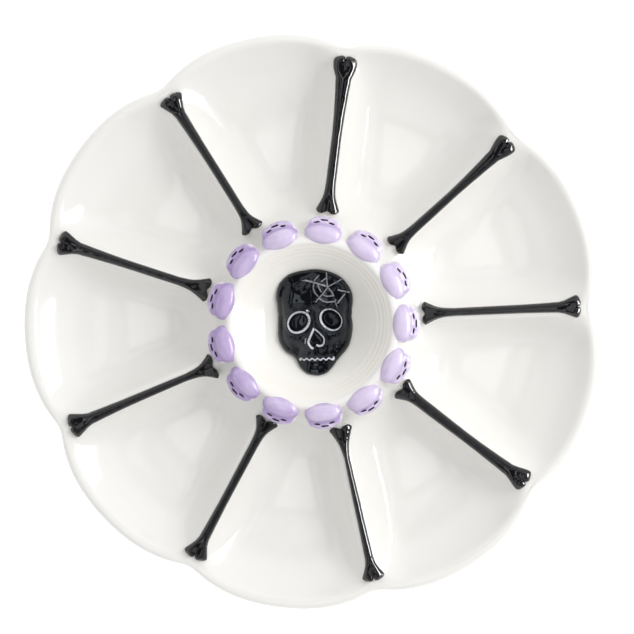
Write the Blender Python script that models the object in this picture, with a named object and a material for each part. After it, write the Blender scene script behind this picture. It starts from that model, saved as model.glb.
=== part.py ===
"""Tapas plate: a lobed dish with nine dividers and a raised dip bowl, and the moulded sprigs luted onto it.

Metres, +Z up. The origin is on the table under the middle of the dish, and +Y runs along the first divider.
"""

import math

import bmesh
import bpy
from mathutils import Matrix, Vector

# Dish
LOBE_COUNT = 9
LOBE_RADIUS = 0.150
NOTCH_DEPTH = 0.0065
RIM_HEIGHT = 0.037
RIM_BAND = 0.0046
WALL = 0.0058
FLOOR_HEIGHT = 0.011
FLOOR_RADIUS = 0.095
FOOT_RADIUS = 0.083
FOOT_WIDTH = 0.006
FOOT_DRAFT = 0.001

# Dividers
CREST_WIDTH = 0.005
CREST_FALL = 0.007
FLANK_REACH = 0.0175
GROOVE_REACH = 0.011

# Dip bowl
BOWL_MOUTH_RADIUS = 0.0405
BOWL_HEIGHT = 0.0445
BOWL_FLOOR_HEIGHT = 0.0215
LIP_WIDTH = 0.0055
LIP_ROUND = 0.0012
BOWL_SIDE_RUN = 0.0065
BOWL_SIDE_BLEND = 0.004
BOWL_FILLET_REACH = 0.022
CHANNEL_REACH = 0.014
CHANNEL_HEIGHT = 0.018

# Bone sprigs
SEAT_GAP = 0.0003
BONE_SHAFT_WIDTH = 0.0043
BONE_SHAFT_RISE = 0.0030
BONE_KNUCKLE_WIDTH = 0.0118
BONE_KNUCKLE_RISE = 0.0040
BONE_TIP_WIDTH = 0.0073
BONE_TIP_RISE = 0.0010
BONE_END_ROUND = 0.0030
BONE_FLARE = 0.0065
BONE_CLEFT = 0.0040
BONE_RIM_MARGIN = 0.0055
BONE_SKULL_GAP = 0.0012

# Skull sprigs around the bowl
RIM_SKULL_WIDTH = 0.0197
RIM_SKULL_HEIGHT = 0.0235
RIM_SKULL_DEPTH = 0.0145
RIM_SKULL_SPACING = 0.0032
RIM_SKULL_RISE = 0.0025
RIM_SKULL_SEAT = 0.0016
RIM_SKULL_TILT = math.radians(15)
RIM_SOCKET_INSET = 0.0004
RIM_SOCKET_DEPTH = 0.0012

# Skull sprig in the bowl
BOWL_SKULL_WIDTH = 0.0395
BOWL_SKULL_MARGIN = 0.0132
BOWL_SKULL_RISE = 0.0125
BOWL_SKULL_EDGE = 0.0018
BOWL_SKULL_TURN = math.radians(12)
EYE_SPREAD = 0.0084
EYE_LENGTH = 0.0106
EYE_WIDTH = 0.0076
EYE_TILT = math.radians(35)
NOSE_WIDTH = 0.0072
SOCKET_DEPTH = 0.0022

# Shape powers: how full a lobe, a flank, the inside of the bowl, a bone's flare and the bowl skull's dome are
LOBE_POWER = 2.6
FLANK_POWER = 2.2
BOWL_POWER = 2.1
FLARE_POWER = 1.5
DOME_POWER = 3
DOME_END_POWER = 4

# Where a lobe starts to round into its notch, as a share of its half width
NOTCH_SHARE = 0.9
# Edges sharper than this are shaded as edges
SHARP_ANGLE = math.radians(40)

# Worked out from the sizes above
FIRST_DIVIDER = math.radians(90)
HALF_LOBE = math.pi / LOBE_COUNT
NOTCH_RADIUS = LOBE_RADIUS - NOTCH_DEPTH
LIP_RADIUS = BOWL_MOUTH_RADIUS + LIP_WIDTH
LIP_EDGE_HEIGHT = BOWL_HEIGHT - LIP_ROUND
CREST_START = LIP_RADIUS + BOWL_SIDE_RUN
SKULL_RING_RADIUS = LIP_RADIUS + RIM_SKULL_SEAT
SKULL_COUNT = int(math.tau * SKULL_RING_RADIUS // (RIM_SKULL_WIDTH + RIM_SKULL_SPACING))
BOWL_SKULL_LENGTH = 2 * (BOWL_MOUTH_RADIUS - BOWL_SKULL_MARGIN)

# Sections of a rim skull from crown to chin: share of its height, of its half width and of its half depth
RIM_SKULL_SECTIONS = (
    (0.00, 0.28, 0.28),
    (0.08, 0.68, 0.60),
    (0.22, 0.95, 0.88),
    (0.38, 1.00, 1.00),
    (0.50, 0.93, 0.92),
    (0.62, 0.86, 0.97),
    (0.78, 0.64, 0.84),
    (1.00, 0.46, 0.60),
)
RIM_SKULL_BROW = 0.38
EYE_ROW = 3
NOSE_ROW = 4

# Outline of the bowl's skull from crown to chin: share of its length and of its half width
BOWL_SKULL_SECTIONS = (
    (0.00, 0.30),
    (0.06, 0.66),
    (0.15, 0.90),
    (0.28, 1.00),
    (0.42, 0.97),
    (0.58, 0.98),
    (0.70, 0.92),
    (0.78, 0.76),
    (0.84, 0.62),
    (0.92, 0.52),
    (1.00, 0.26),
)
EYE_SHARE = 0.49
NOSE_SHARE = 0.65


def share(value, start, end):
    """Where a value lies between start and end, held to 0 and 1."""
    return min(max((value - start) / (end - start), 0.0), 1.0)


def ease(t):
    return t * t * (3 - 2 * t)


def between(start, end, t):
    return start + (end - start) * t


def smooth_max(a, b, blend):
    overlap = max(blend - abs(a - b), 0.0) / blend
    return max(a, b) + overlap * overlap * blend / 4


def polar(radius, angle, height):
    return Vector((radius * math.cos(angle), radius * math.sin(angle), height))


def off_divider(angle):
    """Angle to the nearest divider."""
    turn = (angle - FIRST_DIVIDER) % (2 * HALF_LOBE)
    return min(turn, 2 * HALF_LOBE - turn)


def lobe_dip(t):
    """Dip of the rim at t, from 0 on a lobe's crown to its most in the notch at 1, where it rounds off."""
    if t <= NOTCH_SHARE:
        return t ** LOBE_POWER
    slope = LOBE_POWER * NOTCH_SHARE ** (LOBE_POWER - 1)
    run = t - NOTCH_SHARE
    return NOTCH_SHARE ** LOBE_POWER + slope * (run - run * run / (2 * (1 - NOTCH_SHARE)))


def rim_edge(angle):
    """Radius of the rim's outer edge."""
    return LOBE_RADIUS - NOTCH_DEPTH * lobe_dip(1 - off_divider(angle) / HALF_LOBE) / lobe_dip(1)


def crest_height(radius):
    """Height of a divider's crest, which falls from the rim to the bowl."""
    return RIM_HEIGHT - CREST_FALL * (1 - share(radius, CREST_START, NOTCH_RADIUS))


def flank(distance, start, reach):
    """What is left of a wall's height at a distance, from 1 at its start to 0 at its foot."""
    return (1 - share(distance, start, start + reach)) ** FLANK_POWER


def scoop(radius, edge):
    """Rise of a compartment's floor towards the rim, from 1 where it is deepest to 0 at the edge."""
    return 1 - share(radius, FLOOR_RADIUS, edge) ** 2


def bowl_profile(radius):
    """Height of the bowl's inside, its lip and its outer side."""
    if radius <= BOWL_MOUTH_RADIUS:
        return between(BOWL_FLOOR_HEIGHT, LIP_EDGE_HEIGHT, (radius / BOWL_MOUTH_RADIUS) ** BOWL_POWER)
    if radius <= LIP_RADIUS:
        across = 2 * (radius - BOWL_MOUTH_RADIUS) / LIP_WIDTH - 1
        return BOWL_HEIGHT - LIP_ROUND * across ** 4
    drop = LIP_EDGE_HEIGHT - crest_height(CREST_START)
    return LIP_EDGE_HEIGHT - drop * (radius - LIP_RADIUS) / BOWL_SIDE_RUN


def dish_top(radius, angle):
    if radius <= LIP_RADIUS:
        return bowl_profile(radius)
    crest = crest_height(radius)
    sides = 1 - flank(radius * math.sin(off_divider(angle)), CREST_WIDTH / 2, FLANK_REACH)
    inner = 1 - flank(radius, CREST_START, BOWL_FILLET_REACH)
    depth = sides * inner * scoop(radius, rim_edge(angle) - RIM_BAND)
    return smooth_max(bowl_profile(radius), between(crest, FLOOR_HEIGHT, depth), BOWL_SIDE_BLEND)


def dish_under(radius, angle):
    """Underside, which follows the floor, with a groove under each divider and a channel under the bowl."""
    channel = ease(share(abs(radius - LIP_RADIUS), 0, CHANNEL_REACH))
    if radius <= LIP_RADIUS:
        return between(CHANNEL_HEIGHT, BOWL_FLOOR_HEIGHT - WALL, channel)
    roof = between(CHANNEL_HEIGHT, crest_height(radius) - WALL, channel)
    grooves = ease(share(radius * math.sin(off_divider(angle)), 0, GROOVE_REACH))
    depth = grooves * channel * scoop(radius, rim_edge(angle) - WALL / 2)
    return between(roof, FLOOR_HEIGHT - WALL, depth)


def column_angles(radius):
    """Angles of one ring's points: lines that run along each divider, then even steps to a lobe's middle."""
    reach = max(radius, CREST_START)
    half = [0.0]
    for step, off in enumerate((0.0, 0.25, 0.6), start=1):
        line = math.asin((CREST_WIDTH / 2 + off * FLANK_REACH) / reach)
        half.append(min(line, HALF_LOBE * step / 4))
    half.append(between(half[-1], HALF_LOBE, 0.5))
    lobe = half + [HALF_LOBE] + [2 * HALF_LOBE - angle for angle in reversed(half[1:])]
    return [FIRST_DIVIDER + 2 * HALF_LOBE * k + angle for k in range(LOBE_COUNT) for angle in lobe]


def round_ring(radius, surface):
    """Ring of points on a surface at one radius."""
    return [polar(radius, angle, surface(radius, angle)) for angle in column_angles(radius)]


def lobed_ring(t, band, surface):
    """Ring of points on a surface, t of the way from the deepest circle to a band inside the rim's edge."""
    points = []
    for angle in column_angles(between(FLOOR_RADIUS, NOTCH_RADIUS, t)):
        radius = between(FLOOR_RADIUS, rim_edge(angle) - band, t)
        points.append(polar(radius, angle, surface(radius, angle)))
    return points


def rim_ring(turn):
    """Ring of points round the rim's half-round edge, turn from straight up to straight down."""
    lift = RIM_HEIGHT - WALL / 2 + WALL / 2 * math.cos(turn)
    points = []
    for angle in column_angles(NOTCH_RADIUS):
        radius = rim_edge(angle) - WALL / 2 * (1 - math.sin(turn))
        points.append(polar(radius, angle, lift))
    return points


def foot_ring(offset):
    """Ring of points on the flat of the foot."""
    return [polar(FOOT_RADIUS + offset, angle, 0.0) for angle in column_angles(FOOT_RADIUS)]


def dish_rings():
    """Rings of points over the top from the middle of the bowl to the rim, then under it to the middle."""
    fillet_end = CREST_START + BOWL_FILLET_REACH
    foot_half = FOOT_WIDTH / 2
    top_radii = [BOWL_MOUTH_RADIUS * t for t in (0.3, 0.55, 0.72, 0.85, 0.94, 1.0)]
    top_radii += [between(BOWL_MOUTH_RADIUS, LIP_RADIUS, t) for t in (0.25, 0.75, 1.0)]
    top_radii += [between(LIP_RADIUS, CREST_START, t) for t in (0.5, 1.0)]
    top_radii += [between(CREST_START, fillet_end, t) for t in (0.15, 0.4, 0.7, 1.0)]
    top_radii.append(FLOOR_RADIUS)
    rings = [round_ring(radius, dish_top) for radius in top_radii]
    rings += [lobed_ring(t, RIM_BAND, dish_top) for t in (0.25, 0.5, 0.7, 0.86, 1.0)]
    rings += [rim_ring(math.pi * t) for t in (0, 0.25, 0.5, 0.75, 1.0)]
    rings += [lobed_ring(t, WALL / 2, dish_under) for t in (0.8, 0.55, 0.25)]
    rings.append(round_ring(FOOT_RADIUS + foot_half + FOOT_DRAFT, dish_under))
    rings += [foot_ring(foot_half), foot_ring(-foot_half)]
    rings.append(round_ring(FOOT_RADIUS - foot_half - FOOT_DRAFT, dish_under))
    channel = [LIP_RADIUS + CHANNEL_REACH * t for t in (1.0, 0.5, 0.0, -0.5, -1.0)]
    rings += [round_ring(radius, dish_under) for radius in channel]
    return rings


def glaze(name, colour, roughness):
    material = bpy.data.materials.new(name)
    material.use_nodes = True
    shader = material.node_tree.nodes["Principled BSDF"]
    shader.inputs["Base Color"].default_value = (*colour, 1.0)
    shader.inputs["Roughness"].default_value = roughness
    shader.inputs["Metallic"].default_value = 0.0
    return material


def loft(name, rings):
    """Closed mesh through a row of rings, with a fan over each end, in triangles."""
    shape = bmesh.new()
    loops = [[shape.verts.new(point) for point in ring] for ring in rings]
    for loop, following in zip(loops, loops[1:]):
        for k, corner in enumerate(loop):
            after = (k + 1) % len(loop)
            shape.faces.new((corner, loop[after], following[after], following[k]))
    caps = [shape.faces.new(loops[0]), shape.faces.new(loops[-1])]
    bmesh.ops.poke(shape, faces=caps)
    bmesh.ops.recalc_face_normals(shape, faces=shape.faces)
    bmesh.ops.triangulate(shape, faces=shape.faces)
    return to_mesh(name, shape)


def to_mesh(name, shape):
    mesh = bpy.data.meshes.new(name)
    shape.to_mesh(mesh)
    shape.free()
    mesh.shade_smooth()
    mesh.set_sharp_from_angle(angle=SHARP_ANGLE)
    return mesh


def place(name, mesh, parent, matrix=None):
    item = bpy.data.objects.new(name, mesh)
    bpy.context.collection.objects.link(item)
    item.parent = parent
    if matrix is not None:
        item.matrix_local = matrix
    return item


def hide(item):
    item.hide_render = True
    item.display_type = "WIRE"
    return item


def cut(item, cutter):
    modifier = item.modifiers.new("cut by " + cutter.name, "BOOLEAN")
    modifier.operation = "DIFFERENCE"
    modifier.solver = "EXACT"
    modifier.object = cutter


def seat_mesh(dish):
    """The dish grown by the seat gap, which trims the back of each sprig to its seat."""
    shape = bmesh.new()
    shape.from_mesh(dish)
    shape.normal_update()
    moved = [(vertex, vertex.co + vertex.normal * SEAT_GAP) for vertex in shape.verts]
    for vertex, point in moved:
        vertex.co = point
    return to_mesh("seat", shape)


def bone_section(from_end):
    """Half width and rise of a bone at a distance from its nearer end."""
    swell = math.exp(-((from_end / BONE_FLARE) ** FLARE_POWER))
    rounding = math.sqrt(1 - (1 - share(from_end, 0, BONE_END_ROUND)) ** 2)
    width = between(BONE_SHAFT_WIDTH, BONE_KNUCKLE_WIDTH, swell)
    rise = between(BONE_SHAFT_RISE, BONE_KNUCKLE_RISE, swell)
    return between(BONE_TIP_WIDTH, width, rounding) / 2, between(BONE_TIP_RISE, rise, rounding)


def bone_ring(from_end, end, inward, segments=12):
    """Ring of points across a bone, pulled towards its middle at the cleft between the two knuckles."""
    half, rise = bone_section(from_end)
    fade = 1 - share(from_end, 0, 2 * BONE_FLARE)
    points = []
    for k in range(segments):
        turn = math.tau * k / segments
        cleft = BONE_CLEFT * (1 - abs(math.cos(turn))) * fade
        along = end + inward * (from_end + cleft)
        points.append(Vector((along, half * math.cos(turn), rise * math.sin(turn))))
    return points


def bone_mesh(length):
    """Bone along +X from the origin, its axis in the plane that it rests on."""
    steps = [BONE_FLARE * t for t in (0.0, 0.2, 0.6, 1.2, 2.2)]
    rings = [bone_ring(step, 0.0, 1) for step in steps]
    rings.append(bone_ring(length / 2, 0.0, 1))
    rings += [bone_ring(step, length, -1) for step in reversed(steps)]
    return loft("bone", rings)


def rim_skull_point(section, turn=0.0):
    """Point of a rim skull's section, turn measured from the middle of its face, before it is tilted."""
    height, width, depth = section
    across = RIM_SKULL_WIDTH / 2 * width * math.sin(turn)
    forward = RIM_SKULL_DEPTH / 2 * depth * math.cos(turn)
    return Vector((across, forward, RIM_SKULL_HEIGHT * (RIM_SKULL_BROW - height)))


def rim_skull_reach():
    """How far the face of a tilted rim skull stands out from the middle of its brow's section."""
    tilt = Matrix.Rotation(RIM_SKULL_TILT, 3, "X")
    return max((tilt @ rim_skull_point(section)).y for section in RIM_SKULL_SECTIONS)


def rim_skull_mesh(segments=12):
    """Skull that faces +Y with its crown up, with two eye sockets and a nose pressed in."""
    shape = bmesh.new()
    turns = [math.tau * (k + 0.5) / segments for k in range(segments)]
    rows = [[rim_skull_point(section, turn) for turn in turns] for section in RIM_SKULL_SECTIONS]
    loops = [[shape.verts.new(point) for point in row] for row in rows]
    sockets = []
    for row, (loop, following) in enumerate(zip(loops, loops[1:])):
        for k, corner in enumerate(loop):
            after = (k + 1) % segments
            face = shape.faces.new((corner, loop[after], following[after], following[k]))
            faces_front = k == segments - 1
            beside_front = k in (0, segments - 2)
            if row == EYE_ROW and beside_front or row == NOSE_ROW and faces_front:
                sockets.append(face)
    shape.faces.new(loops[0])
    shape.faces.new(loops[-1])
    bmesh.ops.recalc_face_normals(shape, faces=shape.faces)
    bmesh.ops.inset_individual(shape, faces=sockets, thickness=RIM_SOCKET_INSET, depth=-RIM_SOCKET_DEPTH)
    bmesh.ops.triangulate(shape, faces=shape.faces)
    return to_mesh("rim_skull", shape)


def bowl_skull_mesh(steps=6):
    """Skull in the bowl with its crown towards +Y: a low dome whose flat back lies below its seat."""
    back = BOWL_FLOOR_HEIGHT - WALL / 4
    rings = []
    for length, width in BOWL_SKULL_SECTIONS:
        half = BOWL_SKULL_WIDTH / 2 * width
        along = BOWL_SKULL_LENGTH * (0.5 - length)
        end_fade = 1 - abs(2 * length - 1) ** DOME_END_POWER
        edge = bowl_profile(math.hypot(half, along)) + BOWL_SKULL_EDGE
        ring = []
        for k in range(steps + 1):
            t = 2 * k / steps - 1
            dome = (1 - abs(t) ** DOME_POWER) * end_fade
            ring.append(Vector((half * t, along, between(edge, BOWL_FLOOR_HEIGHT + BOWL_SKULL_RISE, dome))))
        ring += [Vector((half, along, back)), Vector((-half, along, back))]
        rings.append(ring)
    return loft("bowl_skull", rings)


def socket_mesh(length, width, sides):
    """Upright cutter with an oval or cornered outline."""
    shape = bmesh.new()
    bmesh.ops.create_cone(
        shape, cap_ends=True, segments=sides, radius1=0.5, radius2=0.5, depth=1.0,
        matrix=Matrix.Translation((0, 0, 0.5)),
    )
    bmesh.ops.scale(shape, verts=shape.verts, vec=(length, width, BOWL_HEIGHT))
    return to_mesh("socket", shape)


def sprig_cutters(parent):
    """Cutters for the bowl skull's two eye sockets and its nose, each standing on its socket's floor."""
    turn = Matrix.Rotation(BOWL_SKULL_TURN, 4, "Z")
    floor = BOWL_FLOOR_HEIGHT + BOWL_SKULL_RISE - SOCKET_DEPTH
    eye_along = BOWL_SKULL_LENGTH * (0.5 - EYE_SHARE)
    nose_along = BOWL_SKULL_LENGTH * (0.5 - NOSE_SHARE)
    eye = socket_mesh(EYE_LENGTH, EYE_WIDTH, 14)
    nose = socket_mesh(NOSE_WIDTH, NOSE_WIDTH, 3)
    cutters = []
    for side in (-1, 1):
        spot = Matrix.Translation((side * EYE_SPREAD, eye_along, floor))
        tilt = Matrix.Rotation(-side * EYE_TILT, 4, "Z")
        cutters.append(hide(place("eye_cutter", eye, parent, turn @ spot @ tilt)))
    spot = Matrix.Translation((0, nose_along, floor)) @ Matrix.Rotation(math.radians(90), 4, "Z")
    cutters.append(hide(place("nose_cutter", nose, parent, turn @ spot)))
    return cutters


def add_bones(parent, seat, material):
    inner = SKULL_RING_RADIUS + rim_skull_reach() + BONE_SKULL_GAP
    outer = NOTCH_RADIUS - BONE_RIM_MARGIN
    fall = crest_height(outer) - crest_height(inner)
    mesh = bone_mesh(math.hypot(outer - inner, fall))
    mesh.materials.append(material)
    lean = Matrix.Rotation(-math.atan2(fall, outer - inner), 4, "Y")
    for k in range(LOBE_COUNT):
        angle = FIRST_DIVIDER + 2 * HALF_LOBE * k
        start = Matrix.Translation(polar(inner, angle, crest_height(inner)))
        bone = place(f"bone_{k + 1}", mesh, parent, start @ Matrix.Rotation(angle, 4, "Z") @ lean)
        cut(bone, seat)


def add_rim_skulls(parent, seat, material):
    mesh = rim_skull_mesh()
    mesh.materials.append(material)
    crown = RIM_SKULL_HEIGHT * RIM_SKULL_BROW * math.cos(RIM_SKULL_TILT)
    height = BOWL_HEIGHT + RIM_SKULL_RISE - crown
    tilt = Matrix.Rotation(RIM_SKULL_TILT, 4, "X")
    for k in range(SKULL_COUNT):
        angle = FIRST_DIVIDER + math.tau * k / SKULL_COUNT
        spot = Matrix.Translation(polar(SKULL_RING_RADIUS, angle, height))
        facing = Matrix.Rotation(angle - math.radians(90), 4, "Z")
        skull = place(f"rim_skull_{k + 1:02d}", mesh, parent, spot @ facing @ tilt)
        cut(skull, seat)


def add_bowl_skull(parent, seat, material):
    mesh = bowl_skull_mesh()
    mesh.materials.append(material)
    skull = place("bowl_skull", mesh, parent, Matrix.Rotation(BOWL_SKULL_TURN, 4, "Z"))
    cut(skull, seat)
    for cutter in sprig_cutters(parent):
        cut(skull, cutter)


def main():
    for item in list(bpy.data.objects):
        bpy.data.objects.remove(item)
    white = glaze("white glaze", (0.86, 0.85, 0.82), 0.12)
    black = glaze("black glaze", (0.006, 0.006, 0.007), 0.08)
    lilac = glaze("lilac glaze", (0.58, 0.47, 0.72), 0.15)

    plate = place("tapas_plate", None, None)
    dish = loft("dish", dish_rings())
    seat = hide(place("seat", seat_mesh(dish), plate))
    dish.materials.append(white)
    place("plate_body", dish, plate)
    add_bones(plate, seat, black)
    add_rim_skulls(plate, seat, lilac)
    add_bowl_skull(plate, seat, black)


main()
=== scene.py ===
"""Looks of a tapas plate: a white lobed dish with bone and skull sprigs, and a black skull in its bowl.

Metres, +Z up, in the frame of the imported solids. The dish and the skull in its bowl are spun and then
pressed to shape, the bones are box-modelled, and the small skulls are pressed out of a ball.
"""

import math
import random

import bmesh
import bpy
import numpy as np
from bpy.props import FloatProperty, FloatVectorProperty, IntProperty, PointerProperty
from mathutils import Matrix, Vector, noise
from mathutils.kdtree import KDTree


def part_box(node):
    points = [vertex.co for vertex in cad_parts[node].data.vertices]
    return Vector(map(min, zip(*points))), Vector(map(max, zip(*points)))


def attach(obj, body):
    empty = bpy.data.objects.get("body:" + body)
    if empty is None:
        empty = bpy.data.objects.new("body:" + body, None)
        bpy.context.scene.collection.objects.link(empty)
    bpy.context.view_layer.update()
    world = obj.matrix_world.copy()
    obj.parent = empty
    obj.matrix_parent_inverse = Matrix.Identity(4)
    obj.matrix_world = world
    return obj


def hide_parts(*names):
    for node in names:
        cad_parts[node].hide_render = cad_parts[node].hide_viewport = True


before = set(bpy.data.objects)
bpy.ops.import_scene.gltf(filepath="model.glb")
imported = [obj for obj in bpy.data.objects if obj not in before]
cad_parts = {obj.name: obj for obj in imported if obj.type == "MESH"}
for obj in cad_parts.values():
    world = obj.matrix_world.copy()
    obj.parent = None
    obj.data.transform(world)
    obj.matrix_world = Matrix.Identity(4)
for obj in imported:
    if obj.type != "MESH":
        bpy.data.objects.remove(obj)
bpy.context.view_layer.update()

bl_info = {
    "name": "Tapas plate",
    "version": (1, 0, 0),
    "blender": (4, 5, 0),
    "location": "3D View > Sidebar > Tapas plate",
    "description": "Builds a glazed tapas plate with bone and skull sprigs around its solids",
    "category": "Add Mesh",
}

MM = 0.001
BODY = "root"

# Dish, beside the sizes in DishSizes
LOBE_COUNT = 9
HALF_LOBE = math.pi / LOBE_COUNT
FIRST_DIVIDER = math.radians(90)
DISH_COLUMNS = 432
HALF_LOBE_COLUMNS = DISH_COLUMNS // LOBE_COUNT // 2
RIM_BAND = 4.6 * MM
FLOOR_RADIUS = 95 * MM
FOOT_WIDTH = 6 * MM
FOOT_DRAFT = 1 * MM
FOOT_ROUND = 0.5 * MM
CREST_WIDTH = 5 * MM
CREST_FALL = 7 * MM
CREST_ROUND = 0.12
FLANK_REACH = 24 * MM
GROOVE_REACH = 11 * MM
RIM_ROUND = 1.6 * MM
BOWL_FLOOR = 24.0 * MM
BOWL_BEND = (12 * MM, 32 * MM)
LIP_WIDTH = 4.2 * MM
LIP_ROUND = 1.2 * MM
SIDE_RUN = 7.8 * MM
SIDE_BLEND = 4 * MM
FILLET_REACH = 30 * MM
CHANNEL_REACH = 14 * MM
CHANNEL_HEIGHT = 18 * MM
LOBE_POWER = 2.6
NOTCH_SHARE = 0.9
FLANK_POWER = 3.0
COLUMN_SPREAD = 100 * MM
WAVE_HEIGHT = 0.16 * MM
WAVE_SCALE = 26.0
STILL_RINGS = 2
# Throwing rings in the bowl: radius and height of each, in millimetres
RIPPLES = ((32.6, 0.08), (34.9, 0.14), (37.0, 0.18), (38.7, 0.2))
RIPPLE_WIDTH = 0.6 * MM
# Where the mesh gets finer for them, the side where they show most, and how much they show and differ around
RIPPLE_START = 31 * MM
RIPPLE_SIDE = math.radians(35)
RIPPLE_SHARE = (0.6, 0.35)


def share(value, start, end):
    """Where values lie between start and end, held to 0 and 1."""
    return np.clip((value - start) / (end - start), 0.0, 1.0)


def ease(t):
    return t * t * (3 - 2 * t)


def between(start, end, t):
    return start + (end - start) * t


def smooth_max(a, b, blend):
    overlap = np.maximum(blend - np.abs(a - b), 0.0) / blend
    return np.maximum(a, b) + overlap * overlap * blend / 4


def smooth_min(a, b, blend):
    return -smooth_max(-a, -b, blend)


def deselect_all():
    if bpy.context.mode != "OBJECT":
        bpy.ops.object.mode_set(mode="OBJECT")
    bpy.ops.object.select_all(action="DESELECT")


def coordinates(mesh):
    points = np.empty(len(mesh.vertices) * 3, np.float32)
    mesh.vertices.foreach_get("co", points)
    return points.reshape(-1, 3).astype(float)


def press(mesh, points):
    """Move a mesh's vertices to new points."""
    mesh.vertices.foreach_set("co", np.asarray(points, np.float32).ravel())
    mesh.update()


def add_attribute(mesh, name, values, kind="FLOAT"):
    layer = mesh.attributes.new(name, kind, "POINT")
    layer.data.foreach_set("value" if kind == "FLOAT" else "vector", np.asarray(values, np.float32).ravel())


def spin_blank(name, profile, columns):
    """Closed blank spun from (radius, height) points, with the ring and column of each of its vertices."""
    deselect_all()
    bpy.ops.mesh.primitive_circle_add(vertices=len(profile), radius=1.0, fill_type="NOTHING")
    blank = bpy.context.object
    blank.name = name
    press(blank.data, [(radius, 0.0, height) for radius, height in profile])
    bpy.ops.object.mode_set(mode="EDIT")
    shape = bmesh.from_edit_mesh(blank.data)
    shape.verts.ensure_lookup_table()
    for edge in shape.edges:
        edge.select_set({vertex.index for vertex in edge.verts} == {0, len(profile) - 1})
    bpy.ops.mesh.delete(type="EDGE")
    bpy.ops.object.mode_set(mode="OBJECT")
    turning = blank.modifiers.new("turning", "SCREW")
    turning.steps = columns
    turning.render_steps = columns
    bpy.ops.object.modifier_apply(modifier=turning.name)
    bpy.ops.object.mode_set(mode="EDIT")
    bpy.ops.mesh.select_all(action="SELECT")
    bpy.ops.mesh.remove_doubles(threshold=0.001 * MM)
    bpy.ops.mesh.normals_make_consistent(inside=False)
    bpy.ops.object.mode_set(mode="OBJECT")
    tree = KDTree(len(profile))
    for index, (radius, height) in enumerate(profile):
        tree.insert((radius, 0.0, height), index)
    tree.balance()
    points = coordinates(blank.data)
    radii = np.hypot(points[:, 0], points[:, 1])
    rings = np.array([tree.find((radius, 0.0, height))[1] for radius, height in zip(radii, points[:, 2])])
    turns = np.arctan2(points[:, 1], points[:, 0]) / math.tau
    return blank, rings, np.rint(turns * columns).astype(int) % columns


def finish_piece(piece, material, slot, *nodes):
    """Give a piece its glaze, and tell the frame what it rides on and stands for."""
    piece.data.materials.clear()
    piece.data.materials.append(material)
    piece.data.shade_smooth()
    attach(piece, BODY)
    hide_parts(*nodes)


def copy_piece(piece, name, points):
    """Copy of a piece with a mesh of its own, pressed to new points."""
    twin = piece.copy()
    twin.data = piece.data.copy()
    twin.name = name
    bpy.context.collection.objects.link(twin)
    press(twin.data, points)
    return twin


class Wire:
    """A socket in a material: arithmetic on it adds Math nodes, and node() adds any other kind of node."""

    def __init__(self, socket):
        self.socket = socket
        self.tree = socket.id_data

    def node(self, kind, settings=None, sockets=None, output=0):
        made = self.tree.nodes.new(kind)
        for name, value in (settings or {}).items():
            setattr(made, name, value)
        for key, value in (sockets or {}).items():
            if isinstance(value, Wire):
                self.tree.links.new(value.socket, made.inputs[key])
            else:
                made.inputs[key].default_value = value
        return Wire(made.outputs[output])

    def math(self, operation, first, second=0.0):
        return self.node("ShaderNodeMath", {"operation": operation}, {0: first, 1: second})

    def __add__(self, other):
        return self.math("ADD", self, other)

    def __radd__(self, other):
        return self.math("ADD", other, self)

    def __sub__(self, other):
        return self.math("SUBTRACT", self, other)

    def __rsub__(self, other):
        return self.math("SUBTRACT", other, self)

    def __mul__(self, other):
        return self.math("MULTIPLY", self, other)

    def __rmul__(self, other):
        return self.math("MULTIPLY", other, self)

    def step(self, start, end):
        """0 at start and 1 at end, eased between them."""
        return self.node(
            "ShaderNodeMapRange",
            {"interpolation_type": "SMOOTHSTEP"},
            {"Value": self, "From Min": start, "From Max": end},
        )

    def within(self, start, end, blur):
        """1 from start to end and 0 outside, with soft edges."""
        return self.step(start - blur, start + blur) * self.step(end + blur, end - blur)

    def colours(self, first, second):
        """Colour that goes from first to second as this value goes from 0 to 1."""
        return self.node("ShaderNodeMix", {"data_type": "RGBA"}, {0: self, 6: first, 7: second}, output=2)

    def stretch(self, scale):
        return self.node("ShaderNodeVectorMath", {"operation": "MULTIPLY"}, {0: self, 1: scale})

    def length(self):
        return self.node("ShaderNodeVectorMath", {"operation": "LENGTH"}, {0: self}, output=1)

    def cloud(self, scale, detail=2.0, roughness=0.5):
        """Soft noise from 0 to 1 over this place."""
        return self.node(
            "ShaderNodeTexNoise",
            {},
            {"Vector": self, "Scale": scale, "Detail": detail, "Roughness": roughness},
        )

    def feed(self, shader, name):
        self.tree.links.new(self.socket, shader.inputs[name])

    def bump(self, shader, strength, distance):
        """Raise the surface by this height."""
        made = self.node("ShaderNodeBump", {}, {"Height": self, "Strength": strength, "Distance": distance})
        made.feed(shader, "Normal")


def new_glaze(name):
    """Material with a plain glaze shader, its shader and its Object coordinates."""
    material = bpy.data.materials.new(name)
    material.use_nodes = True
    shader = material.node_tree.nodes["Principled BSDF"]
    place = Wire(material.node_tree.nodes.new("ShaderNodeTexCoord").outputs["Object"])
    return material, shader, place


def attribute(place, name, output):
    return place.node("ShaderNodeAttribute", {"attribute_name": name}, output=output)


def rgba(colour):
    return (*colour, 1.0)


# Where glazes start and end: clay left bare over the table, radii of the bowl's glaze, and radii over which
# the bowl's white is painted lighter towards its middle, painted light that lifts the shade there
BARE_FOOT = (0.25 * MM, 0.7 * MM)
BOWL_GLAZE = (41 * MM, 39 * MM)
BOWL_LIT_MIDDLE = (37 * MM, 30 * MM)
# How ragged the edges of the white lines and of the dabs are, and how far they fade
LINE_RAGGED = 0.35 * MM
LINE_FADE = 0.18 * MM
DAB_RAGGED = 0.5 * MM
DAB_FADE = 0.1 * MM


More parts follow.
